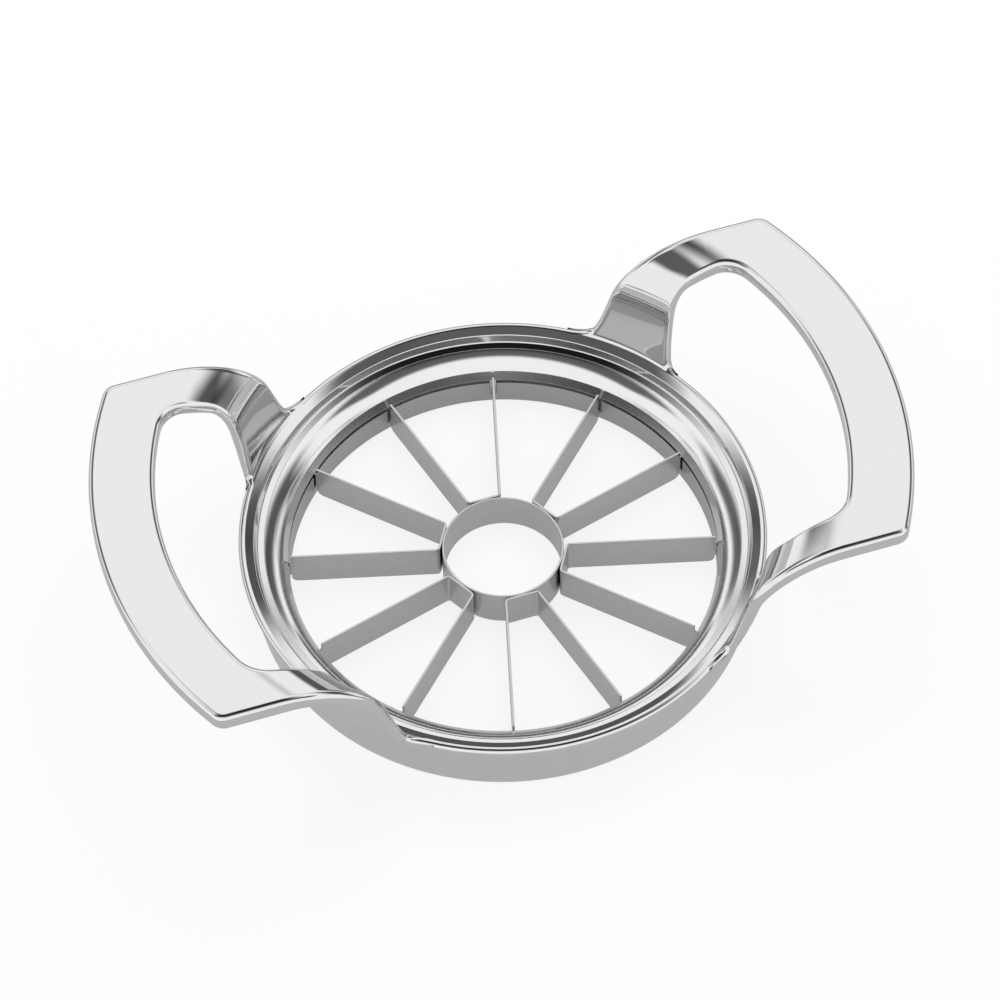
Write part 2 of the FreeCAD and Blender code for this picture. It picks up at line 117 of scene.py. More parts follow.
@dataclass
class Path:
    """A line of straight runs and arcs, followed with a heading in degrees.

    Attributes:
        start: the first point.
        heading: the direction of travel at the first point, in degrees.
    """

    start: Point
    heading: float
    runs: list[tuple[float, float, Point, float]] = field(default_factory=list)
    length: float = 0.0

    def __post_init__(self) -> None:
        """Remember where the next run begins."""
        self.end = self.start
        self.end_heading = self.heading

    def straight(self, length: float) -> Path:
        """Add a straight run.

        Args:
            length: how far to go on.

        Returns:
            The path itself, so that calls can be chained.
        """
        self.runs.append((length, 0.0, self.end, self.end_heading))
        x = self.end[0] + length * cosine(self.end_heading)
        y = self.end[1] + length * sine(self.end_heading)
        self.end = (x, y)
        self.length += length
        return self

    def turn(self, radius: float, heading: float) -> Path:
        """Add an arc.

        Args:
            radius: the arc's radius.
            heading: the heading at the arc's end, in degrees.

        Returns:
            The path itself, so that calls can be chained.
        """
        angle = math.radians(heading - self.end_heading)
        curvature = math.copysign(1 / radius, angle)
        run = (abs(angle) * radius, curvature, self.end, self.end_heading)
        self.runs.append(run)
        self.length += run[0]
        self.end = self.on_run(run, run[0])[0]
        self.end_heading = heading
        return self

    @staticmethod
    def on_run(run: tuple[float, float, Point, float], along: float) -> tuple[Point, float]:
        """Point and heading at a distance along one run.

        Args:
            run: length, curvature, start point and start heading.
            along: distance from the run's start.

        Returns:
            The point and the heading there, in degrees.
        """
        _, curvature, start, heading = run
        if curvature == 0:
            return (start[0] + along * cosine(heading), start[1] + along * sine(heading)), heading
        turned = heading + math.degrees(along * curvature)
        x = start[0] + (sine(turned) - sine(heading)) / curvature
        y = start[1] - (cosine(turned) - cosine(heading)) / curvature
        return (x, y), turned

    def at(self, along: float) -> tuple[Point, float]:
        """Point and heading at a distance along the whole path."""
        left = along
        for run in self.runs:
            if left <= run[0]:
                return self.on_run(run, left)
            left -= run[0]
        return self.on_run(self.runs[-1], self.runs[-1][0])

    def beside(self, along: float, offset: float) -> Point:
        """Point at a distance along the path, moved to its left by offset."""
        (x, y), heading = self.at(along)
        return (x - offset * sine(heading), y + offset * cosine(heading))

    def find(self, wanted: float, measure: Callable[[float], float], low: float, high: float) -> float:
        """Distance along the path where a rising measure has a wanted value.

        Args:
            wanted: the value to reach.
            measure: a function of the distance that rises along the path.
            low: least distance to consider.
            high: largest distance to consider.

        Returns:
            The distance, held between low and high.
        """
        for _ in range(HALVINGS):
            middle = (low + high) / 2
            if measure(middle) < wanted:
                low = middle
            else:
                high = middle
        return (low + high) / 2


HALVINGS = 32


def rounded(corners: Sequence[tuple[float, float, float]], segments: int) -> list[Point]:
    """Open outline through corners, each rounded by its own radius.

    Args:
        corners: x, y and rounding radius of each corner.
        segments: number of segments in each rounding.

    Returns:
        The outline's points.
    """
    points: list[Point] = []
    for index, (x, y, radius) in enumerate(corners):
        if radius == 0 or index in (0, len(corners) - 1):
            points.append((x, y))
            continue
        corner = Vector((x, y))
        before = (Vector(corners[index - 1][:2]) - corner).normalized()
        after = (Vector(corners[index + 1][:2]) - corner).normalized()
        half = before.angle(after) / 2
        centre = corner + (before + after).normalized() * (radius / math.sin(half))
        start = corner + before * (radius / math.tan(half)) - centre
        end = corner + after * (radius / math.tan(half)) - centre
        for step in range(segments + 1):
            spoke = start.slerp(end, step / segments) * radius
            points.append((centre.x + spoke.x, centre.y + spoke.y))
    return points


def finish_mesh(bm: bmesh.types.BMesh, name: str, crease: float = 40.0) -> bpy.types.Object:
    """Turn a bmesh into an object at the origin with clean shading.

    Args:
        bm: the mesh, in metres; it is freed.
        name: the piece's name.
        crease: edges sharper than this angle in degrees stay sharp.

    Returns:
        The new object.
    """
    bmesh.ops.remove_doubles(bm, verts=bm.verts, dist=0.002 * MM)
    bmesh.ops.recalc_face_normals(bm, faces=bm.faces)
    for face in bm.faces:
        face.smooth = True
    for edge in bm.edges:
        edge.smooth = len(edge.link_faces) != 2 or edge.calc_face_angle() < math.radians(crease)
    mesh = bpy.data.meshes.new(name)
    bm.to_mesh(mesh)
    bm.free()
    piece = bpy.data.objects.new(name, mesh)
    bpy.context.scene.collection.objects.link(piece)
    weighted = piece.modifiers.new("even_normals", "WEIGHTED_NORMAL")
    weighted.keep_sharp = True
    return piece


def spin_profile(bm: bmesh.types.BMesh, outline: Sequence[Point], steps: int, closed: bool) -> None:
    """Turn a profile of radius and height once about Z.

    Args:
        bm: the mesh to add to.
        outline: radius and height of each point, in metres.
        steps: number of steps round the full turn.
        closed: whether the last point joins the first.
    """
    verts = [bm.verts.new((radius, 0.0, height)) for radius, height in outline]
    edges = [bm.edges.new(pair) for pair in zip(verts, verts[1:])]
    if closed:
        edges.append(bm.edges.new((verts[-1], verts[0])))
    bmesh.ops.spin(
        bm, geom=verts + edges, cent=(0, 0, 0), axis=(0, 0, 1), angle=math.tau,
        steps=steps, use_merge=True)


def in_metres(points: Iterable[Point]) -> list[Point]:
    """Points given in millimetres, in metres."""
    return [(x * MM, y * MM) for x, y in points]


def place(piece: bpy.types.Object, node: str, material: bpy.types.Material) -> None:
    """Let a piece stand for a node, ride on the body and take a finish.

    Args:
        piece: the finished piece.
        node: the node it stands for.
        material: the material to show.
    """
    piece.data.materials.clear()
    piece.data.materials.append(material)
    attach(piece, BODY)
    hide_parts(node)
    LOG.info("%s: %d faces", piece.name, len(piece.data.polygons))


@dataclass(frozen=True)
class CastingSection:
    """Sizes of the cast ring's section, in millimetres."""

    foot_radius: float = 55.5
    foot_rounding: float = 0.5
    wall: float = 2.1
    top_radius: float = 57.7
    top_height: float = 14.1
    lip_rounding: float = 1.1
    lip_radius: float = 57.12
    lip_height: float = 15.0
    dish_slope: float = 27.0
    crease_radius: float = 54.9
    crease_rounding: float = 0.35
    step_slope: float = 70.0
    step_rounding: float = 0.5
    floor_slope: float = 13.0
    seat_radius: float = 52.7
    seat_height: float = 12.95
    sleeve_radius: float = 48.9
    hub_foot: float = 0.5
    channel_inner: Point = (50.9, 8.6)
    channel_outer: Point = (54.9, 11.2)

    @property
    def lip_outer(self) -> float:
        """Radius of the lip's outermost line."""
        return self.lip_radius + self.lip_rounding

    @property
    def crest(self) -> Point:
        """Where the lip's rounding meets the dished cone."""
        return (
            self.lip_radius - self.lip_rounding * sine(self.dish_slope),
            self.lip_height + self.lip_rounding * cosine(self.dish_slope))

    @property
    def crease(self) -> Point:
        """Where the dished cone drops into the cove."""
        radius, height = self.crest
        fall = (radius - self.crease_radius) * tangent(self.dish_slope)
        return (self.crease_radius, height - fall)


@dataclass
class HandleShape:
    """Shape of the looped handles: height against radius, and the plan outline."""

    section: CastingSection
    brim_height: float = 42.8
    brim_thickness: float = 4.0
    brim_outer: float = 88.9
    rise_slope: float = 78.0
    root_thickness: float = 3.1
    crown: float = 18.0
    crown_end: float = 77.2
    root_sweep: float = 3.6
    arm_outer: float = 46.0
    arm_inner: float = 36.0
    flare: float = 20.0
    corner: float = 3.5
    grip_inner: float = 74.7
    finger_corner: float = 7.0
    web: float = 5.0
    top_rounding: float = 1.4
    under_rounding: float = 1.0

    def __post_init__(self) -> None:
        """Work out the two height curves and the two plan outlines."""
        slope = self.rise_slope
        dish = self.section.dish_slope
        crease = self.section.crease
        crown_start = (
            self.crown_end - self.crown * sine(slope),
            self.brim_height - self.crown * (1 - cosine(slope)))
        sweep = (
            self.root_sweep * (sine(slope) - sine(dish)),
            self.root_sweep * (cosine(dish) - cosine(slope)))
        run = crown_start[0] - crease[0] - sweep[0]
        gain = crown_start[1] - crease[1] - sweep[1]
        root_run = (run * tangent(slope) - gain) / (tangent(slope) - tangent(dish))
        rise = (run - root_run) / cosine(slope)
        self.top = Path(crease, dish).straight(root_run / cosine(dish))
        self.top.turn(self.root_sweep, slope).straight(rise)
        self.top.turn(self.crown, 0.0).straight(self.brim_outer - self.crown_end)
        under_start = (
            crease[0] + self.root_thickness * sine(dish),
            crease[1] - self.root_thickness * cosine(dish))
        under_crown_height = crown_start[1] - self.root_thickness * cosine(slope)
        brim_under = self.brim_height - self.brim_thickness
        under_crown = (brim_under - under_crown_height) / (1 - cosine(slope))
        self.under = Path(under_start, dish).straight(root_run / cosine(dish))
        self.under.turn(self.root_sweep + self.root_thickness, slope).straight(rise)
        self.under.turn(under_crown, 0.0)
        self.under.straight(self.brim_outer - self.under.end[0])
        self.outer = self.outer_outline()
        self.inner = self.inner_outline()

    def outer_outline(self) -> Path:
        """Plan outline from the lip round the outside to the middle of the grip."""
        lip = self.section.lip_outer
        axis_y = self.arm_outer + self.flare
        axis_x = math.sqrt((lip + self.flare) ** 2 - axis_y ** 2)
        bearing = math.degrees(math.atan2(axis_y, axis_x))
        corner_y = self.arm_outer - self.corner
        corner_x = math.sqrt((self.brim_outer - self.corner) ** 2 - corner_y ** 2)
        corner_bearing = math.degrees(math.atan2(corner_y, corner_x))
        path = Path((lip * cosine(bearing), lip * sine(bearing)), bearing - 90)
        path.turn(self.flare, 0.0)
        self.flare_length = path.length
        path.straight(corner_x - axis_x)
        self.corner_start = path.length
        path.turn(self.corner, corner_bearing - 90)
        self.corner_length = path.length
        return path.turn(self.brim_outer, -90.0)

    def inner_outline(self) -> Path:
        """Plan outline from the lip round the finger gap to the middle of the grip."""
        lip = self.section.lip_outer
        axis_y = self.arm_inner - self.web
        axis_x = math.sqrt((lip + self.web) ** 2 - axis_y ** 2)
        bearing = math.degrees(math.atan2(axis_y, axis_x))
        finger_y = self.arm_inner - self.finger_corner
        finger_x = math.sqrt((self.grip_inner - self.finger_corner) ** 2 - finger_y ** 2)
        finger_bearing = math.degrees(math.atan2(finger_y, finger_x))
        path = Path((lip * cosine(bearing), lip * sine(bearing)), bearing + 90)
        path.turn(self.web, 0.0)
        path.straight(finger_x - axis_x)
        self.finger_start = path.length
        path.turn(self.finger_corner, finger_bearing - 90)
        self.finger_length = path.length
        return path.turn(self.grip_inner, -90.0)


@dataclass
class Rounding:
    """One rounded edge of the handle at one place: its arc from wall to face."""

    arc: list[Vector]
    face_radius: float
    face_bearing: float


@dataclass
class HandleLoft:
    """Skin of one handle, laid over matched stations of its two outlines."""

    shape: HandleShape
    arm_stations: int = 64
    bend_stations: int = 16
    corner_stations: int = 12
    grip_stations: int = 26
    arc_segments: int = 6
    sheet_segments: int = 14
    wall_segments: int = 3
    bend_share: float = 0.6
    taper_length: float = 17.0
    outer_climb: Point = (2.0, 9.0)
    inner_climb: Point = (1.0, 4.5)
    least_depth: float = 0.4

    def radius_on(self, path: Path) -> Callable[[float], float]:
        """Function that gives a plan outline's radius at a distance along it."""
        return lambda along: math.hypot(*path.at(along)[0])

    def stations(self) -> list[tuple[float, float]]:
        """Matched distances along the outer and the inner outline."""
        shape = self.shape
        finger_radius = self.radius_on(shape.inner)(shape.finger_start)
        lip = shape.section.lip_outer
        finger_x = shape.inner.at(shape.finger_start)[0][0]
        beside_x = math.hypot(finger_x, shape.arm_outer)
        pairs = []
        for step in range(self.arm_stations):
            share = (step / self.arm_stations) ** 1.25
            inner_radius = blend(lip, finger_radius, share)
            parting = ease((inner_radius - 61.5) / (finger_radius - 61.5))
            outer_radius = inner_radius + parting * (beside_x - finger_radius)
            inner = shape.inner.find(inner_radius, self.radius_on(shape.inner), 0, shape.finger_start)
            outer = shape.outer.find(outer_radius, self.radius_on(shape.outer), 0, shape.corner_start)
            pairs.append((outer, inner))
        bend_from = shape.outer.find(beside_x, self.radius_on(shape.outer), 0, shape.corner_start)
        for step in range(self.bend_stations):
            share = step / self.bend_stations
            outer = blend(bend_from, shape.corner_start, share)
            inner = blend(shape.finger_start, shape.finger_length, share * self.bend_share)
            pairs.append((outer, inner))
        for step in range(self.corner_stations):
            share = step / self.corner_stations
            outer = blend(shape.corner_start, shape.corner_length, share)
            turned = blend(self.bend_share, 1.0, share)
            pairs.append((outer, blend(shape.finger_start, shape.finger_length, turned)))
        for step in range(self.grip_stations + 1):
            share = step / self.grip_stations
            outer = blend(shape.corner_length, shape.outer.length, share)
            pairs.append((outer, blend(shape.finger_length, shape.inner.length, share)))
        return pairs

    def rounding(self, outline: Path, along: float, side: Side, top: bool, lift: float) -> Rounding:
        """Ball-rolled rounding between the upright wall and a height curve.

        Args:
            outline: the plan outline that the wall follows.
            along: distance along that outline.
            side: the side of the outline that is outside the part.
            top: whether the edge is at the top face or at the under face.
            lift: how far the under face is raised here, in millimetres.

        Returns:
            The arc from the wall to the face, and where the face begins.
        """
        shape = self.shape
        curve = shape.top if top else shape.under
        radius = self.ball(along, top)
        centre_plan = Vector(outline.beside(along, -side.value * radius))
        distance = centre_plan.length
        bearing = math.atan2(centre_plan.y, centre_plan.x)
        inward = -radius if top else radius
        place_on = curve.find(
            distance, lambda q: curve.beside(q, inward)[0], 0, curve.length)
        slope = curve.at(place_on)[1]
        height = curve.beside(place_on, inward)[1] + lift
        if top:
            climb = self.climb(side, along)
            dish = shape.section.dish_slope
            crease = shape.section.crease
            dished = crease[1] + (distance - crease[0]) * tangent(dish) - radius / cosine(dish)
            slope = blend(dish, slope, climb)
            height = blend(dished, height, climb)
        heading = outline.at(along)[1]
        wall_normal = Vector((-sine(heading), cosine(heading), 0)) * side.value
        flip = 1 if top else -1
        face_normal = Vector((
            -sine(slope) * math.cos(bearing),
            -sine(slope) * math.sin(bearing),
            cosine(slope))) * flip
        centre = Vector((centre_plan.x, centre_plan.y, height))
        arc = []
        for step in range(self.arc_segments + 1):
            spoke = wall_normal.slerp(face_normal, step / self.arc_segments)
            arc.append(centre + spoke * radius)
        return Rounding(arc, math.hypot(arc[-1].x, arc[-1].y), bearing)

    def climb(self, side: Side, along: float) -> float:
        """How far the upper edge has left the ring's dish for the handle's own curve."""
        start, length = self.outer_climb if side is Side.LEFT else self.inner_climb
        return ease((along - start) / length)

    def ball(self, along: float, top: bool) -> float:
        """Radius of the rounding, which starts as fine as the lip's."""
        full = self.shape.top_rounding if top else self.shape.under_rounding
        start = min(full, self.shape.section.lip_rounding)
        return blend(start, full, ease(along / self.taper_length))

    def height_on(self, curve: Path, radius: float) -> float:
        """Height of a face at a radius."""
        place_on = curve.find(radius, lambda q: curve.at(q)[0][0], 0, curve.length)
        return curve.at(place_on)[0][1]

    def sheet(self, curve: Path, start: Rounding, end: Rounding, lifts: Point) -> list[Vector]:
        """Inner points of one face between two roundings.

        Args:
            curve: the face's height curve.
            start: the rounding that the face starts from.
            end: the rounding that the face ends at.
            lifts: how far the face is raised at its start and at its end.

        Returns:
            The points, without those of the roundings.
        """
        points = []
        for step in range(1, self.sheet_segments):
            share = self.spread(step / self.sheet_segments)
            radius = blend(start.face_radius, end.face_radius, share)
            bearing = blend(start.face_bearing, end.face_bearing, share)
            height = self.height_on(curve, radius) + blend(lifts[0], lifts[1], share)
            points.append(Vector((radius * math.cos(bearing), radius * math.sin(bearing), height)))
        return points

    @staticmethod
    def spread(share: float) -> float:
        """Share across a face, with the points drawn towards its edges."""
        return blend(share, ease(share), 0.7)

    def wall(self, start: Vector, end: Vector) -> list[Vector]:
        """Points between the roundings at the top and the foot of a wall."""
        return [
            start.lerp(end, step / self.wall_segments)
            for step in range(1, self.wall_segments)]

    def loop(self, outer_along: float, inner_along: float) -> list[Vector]:
        """Closed section of the handle at one pair of matched stations."""
        shape = self.shape
        lifts = [
            self.under_lift(outer_along),
            self.under_lift(inner_along)]
        outer_top = self.rounding(shape.outer, outer_along, Side.LEFT, True, 0.0)
        inner_top = self.rounding(shape.inner, inner_along, Side.RIGHT, True, 0.0)
        outer_under = self.rounding(shape.outer, outer_along, Side.LEFT, False, lifts[0])
        inner_under = self.rounding(shape.inner, inner_along, Side.RIGHT, False, lifts[1])
        drops = [
            edge.arc[-1].z - self.height_on(shape.top, edge.face_radius)
            for edge in (outer_top, inner_top)]
        points = list(outer_top.arc)
        points += self.sheet(shape.top, outer_top, inner_top, (drops[0], drops[1]))
        points += reversed(inner_top.arc)
        points += self.wall(inner_top.arc[0], inner_under.arc[0])
        points += inner_under.arc
        points += self.sheet(shape.under, inner_under, outer_under, (lifts[1], lifts[0]))
        points += reversed(outer_under.arc)
        points += self.wall(outer_under.arc[0], outer_top.arc[0])
        return points

    def under_lift(self, along: float) -> float:
        """How far the under face is raised near the lip, where it fades into the ring."""
        return UNDER_FADE * (1 - ease(along / self.taper_length))

    def build(self, bm: bmesh.types.BMesh) -> None:
        """Add half a handle to a mesh, then mirror it into both handles.

        Args:
            bm: the mesh to add to.
        """
        rows = []
        for outer_along, inner_along in self.stations():
            row = [bm.verts.new(point * MM) for point in self.loop(outer_along, inner_along)]
            rows.append([bm.edges.new((row[i], row[(i + 1) % len(row)])) for i in range(len(row))])
        for before, after in zip(rows, rows[1:]):
            bmesh.ops.bridge_loops(bm, edges=before + after)
        bmesh.ops.contextual_create(bm, geom=rows[0])
        for axis, normal in (("Y", (0, 1, 0)), ("X", (1, 0, 0))):
            geom = list(bm.verts) + list(bm.edges) + list(bm.faces)
            bmesh.ops.mirror(bm, geom=geom, matrix=Matrix.Identity(4), merge_dist=0.001 * MM, axis=axis)


UNDER_FADE = 1.9


@dataclass
class Collar:
    """Pressed ring whose rolled flange covers the blade ends, in millimetres."""

    bore: float = 47.6
    sleeve: float = 48.9
    foot: float = 7.7
    turn_line: Point = (48.62, 9.9)
    rim: float = 52.7
    roll: float = 8.14
    axis: Point = (55.4, 5.37)
    sheet: float = 1.0
    edge: float = 0.12
    turn_steps: int = 360
    segments: int = 16

    def face_height(self, radius: float) -> float:
        """Height of the flange's domed upper face at a radius."""
        return self.axis[1] + math.sqrt(self.roll ** 2 - (radius - self.axis[0]) ** 2)

    def under_line(self, clearance: float) -> list[Point]:
        """Under side of the flange from rim to sleeve, lowered by a clearance."""
        under = self.roll - self.sheet - clearance
        points = []
        for step in range(self.segments + 1):
            radius = blend(self.rim, self.sleeve, step / self.segments)
            rise = math.sqrt(under ** 2 - (radius - self.axis[0]) ** 2)
            points.append((radius, self.axis[1] + rise))
        return points

    def build(self, material: bpy.types.Material) -> bpy.types.Object:
        """Make the collar as one piece."""
        turn_radius, turn_height = self.turn_line
        flange_start = turn_radius + 0.5
        outline = rounded([
            (self.sleeve, self.under_line(0.0)[-1][1], 0.0),
            (self.sleeve, self.foot, self.edge),
            (self.bore, self.foot, self.edge),
            (turn_radius, turn_height, 0.45),
            (flange_start, self.face_height(flange_start), 0.0)], 6)[1:]
        for step in range(1, 2 * self.segments + 1):
            radius = blend(flange_start, self.rim - self.edge, step / (2 * self.segments))
            outline.append((radius, self.face_height(radius)))
        outline.append((self.rim, outline[-1][1] - self.edge))
        outline += self.under_line(0.0)
        bm = bmesh.new()
        spin_profile(bm, in_metres(outline), self.turn_steps, True)
        piece = finish_mesh(bm, "pressed_collar_ring")
        place(piece, "collar_ring", material)
        return piece


@dataclass
class HandleFrame:
    """The polished casting: ring, skirt and two looped handles."""

    section: CastingSection = field(default_factory=CastingSection)
    collar: Collar = field(default_factory=Collar)
    seat_clearance: float = 0.03
    turn_steps: int = 360
    round_segments: int = 6

    def ring_outline(self) -> list[Point]:
        """Closed section of the ring in radius and height, in millimetres."""
        s = self.section
        outline = rounded([
            (s.foot_radius - s.wall, 0.0, 0.0),
            (s.foot_radius - s.wall, 0.0, 0.0),
            (s.foot_radius, 0.0, s.foot_rounding),
            (s.top_radius, s.top_height, 0.6),
            (s.lip_outer, s.lip_height - 0.2, 0.15),
            (s.lip_outer, s.lip_height, 0.0)], self.round_segments)[1:]
        for step in range(1, self.round_segments * 2 + 1):
            turned = (90 + s.dish_slope) * step / (self.round_segments * 2)
            outline.append((
                s.lip_radius + s.lip_rounding * cosine(turned),
                s.lip_height + s.lip_rounding * sine(turned)))
        outline += self.cove_outline()
        outline += self.collar.under_line(self.seat_clearance)
        outline += [
            (s.sleeve_radius, s.hub_foot + 0.3),
            (s.sleeve_radius + 0.3, s.hub_foot),
            (s.channel_inner[0] - 0.3, s.hub_foot),
            (s.channel_inner[0], s.hub_foot + 0.3),
            s.channel_inner,
            s.channel_outer]
        return outline

    def cove_outline(self) -> list[Point]:
        """The rounded crease, the short step below it and the cove's gentle floor."""
        s = self.section
        radius, height = s.crease
        floor_at_crease = s.seat_height + (radius - s.seat_radius) * tangent(s.floor_slope)
        back = (height - floor_at_crease) / (tangent(s.step_slope) - tangent(s.floor_slope))
        step_foot = (radius - back, floor_at_crease - back * tangent(s.floor_slope))
        return rounded([
            (radius + cosine(s.dish_slope), height + sine(s.dish_slope), 0.0),
            (radius, height, s.crease_rounding),
            (*step_foot, s.step_rounding),
            (s.seat_radius, s.seat_height, 0.1),
            (s.seat_radius, s.seat_height - 0.4, 0.0)], self.round_segments)

    def build(self, material: bpy.types.Material) -> bpy.types.Object:
        """Make the casting as one piece."""
        bm = bmesh.new()
        HandleLoft(HandleShape(self.section)).build(bm)
        spin_profile(bm, in_metres(self.ring_outline()), self.turn_steps, True)
        piece = finish_mesh(bm, "polished_handle_frame")
        place(piece, "handle_frame", material)
        return piece


@dataclass
class BladeRing:
    """Lower ring with twelve slots for the blade ends, in millimetres."""

    bore: float = 47.5
    sleeve: float = 48.9
    foot: float = 0.5
    top: float = 6.9
    slot_width: float = 1.4
    slot_floor: float = 2.9
    slots: int = 12
    first_slot: float = 15.0
    edge: float = 0.1
    steps_between: int = 24

    def build(self, material: bpy.types.Material) -> bpy.types.Object:
        """Make the slotted ring as one piece."""
        bm = bmesh.new()
        slot_angle = 2 * math.degrees(math.asin(self.slot_width / 2 / self.bore))
        rows = (self.foot, self.slot_floor, self.top)
        start = self.first_slot - slot_angle / 2
        verts = [
            bm.verts.new((
                self.bore * MM * cosine(start), self.bore * MM * sine(start), height * MM))
            for height in rows]
        geom: list = verts + [bm.edges.new(pair) for pair in zip(verts, verts[1:])]
        pitch = 360 / self.slots
        open_faces = []
        for _ in range(self.slots):
            for angle, steps in ((slot_angle, 1), (pitch - slot_angle, self.steps_between)):
                known = set(bm.faces)
                turned = bmesh.ops.spin(
                    bm, geom=geom, cent=(0, 0, 0), axis=(0, 0, 1),
                    angle=math.radians(angle), steps=steps)
                geom = turned["geom_last"]
                if steps == 1:
                    open_faces += [face for face in set(bm.faces) - known]
        floor = self.slot_floor * MM
        above = [face for face in open_faces if face.calc_center_median().z > floor]
        bmesh.ops.delete(bm, geom=above, context="FACES")
        bmesh.ops.remove_doubles(bm, verts=bm.verts, dist=0.01 * MM)
        self.thicken(bm)
        piece = finish_mesh(bm, "slotted_blade_ring")
        place(piece, "blade_ring", material)
        return piece

    def thicken(self, bm: bmesh.types.BMesh) -> None:
        """Give the bore sheet its wall and break its sharp edges."""
        bmesh.ops.recalc_face_normals(bm, faces=bm.faces)
        outward = sum((face.normal.dot(face.calc_center_median()) for face in bm.faces))
        if outward < 0:
            bmesh.ops.reverse_faces(bm, faces=bm.faces)
        bmesh.ops.solidify(bm, geom=bm.faces, thickness=-(self.sleeve - self.bore) * MM)
        bmesh.ops.recalc_face_normals(bm, faces=bm.faces)
        break_edges(bm, self.edge * MM, 50.0)


def break_edges(bm: bmesh.types.BMesh, width: float, above: float) -> None:
    """Bevel every edge that is sharper than an angle.

    Args:
        bm: the mesh.
        width: width of the bevel, in metres.
        above: least angle between the faces, in degrees.
    """
    sharp = [
        edge for edge in bm.edges
        if len(edge.link_faces) == 2 and edge.calc_face_angle() > math.radians(above)]
    bmesh.ops.bevel(
        bm, geom=sharp, offset=width, offset_type="OFFSET", segments=2, profile=0.5,
        affect="EDGES", material=-1, clamp_overlap=True)


@dataclass
class CoreRing:
    """Thin rolled tube that cuts out the core, in millimetres."""

    radius: float = 13.5
    sheet: float = 0.5
    foot: float = 0.2
    top: float = 9.55
    edge: float = 0.1
    turn_steps: int = 192

    def build(self, material: bpy.types.Material) -> bpy.types.Object:
        """Make the core ring as one piece."""
        bore = self.radius - self.sheet
        outline = rounded([
            (self.radius, (self.foot + self.top) / 2, 0.0),
            (self.radius, self.top, self.edge),
            (bore, self.top, self.edge),
            (bore, self.foot, self.edge),
            (self.radius, self.foot, self.edge),
            (self.radius, (self.foot + self.top) / 2, 0.0)], 3)[:-1]
        bm = bmesh.new()
        spin_profile(bm, in_metres(outline), self.turn_steps, True)
        piece = finish_mesh(bm, "rolled_core_ring")
        place(piece, "core_ring", material)
        return piece


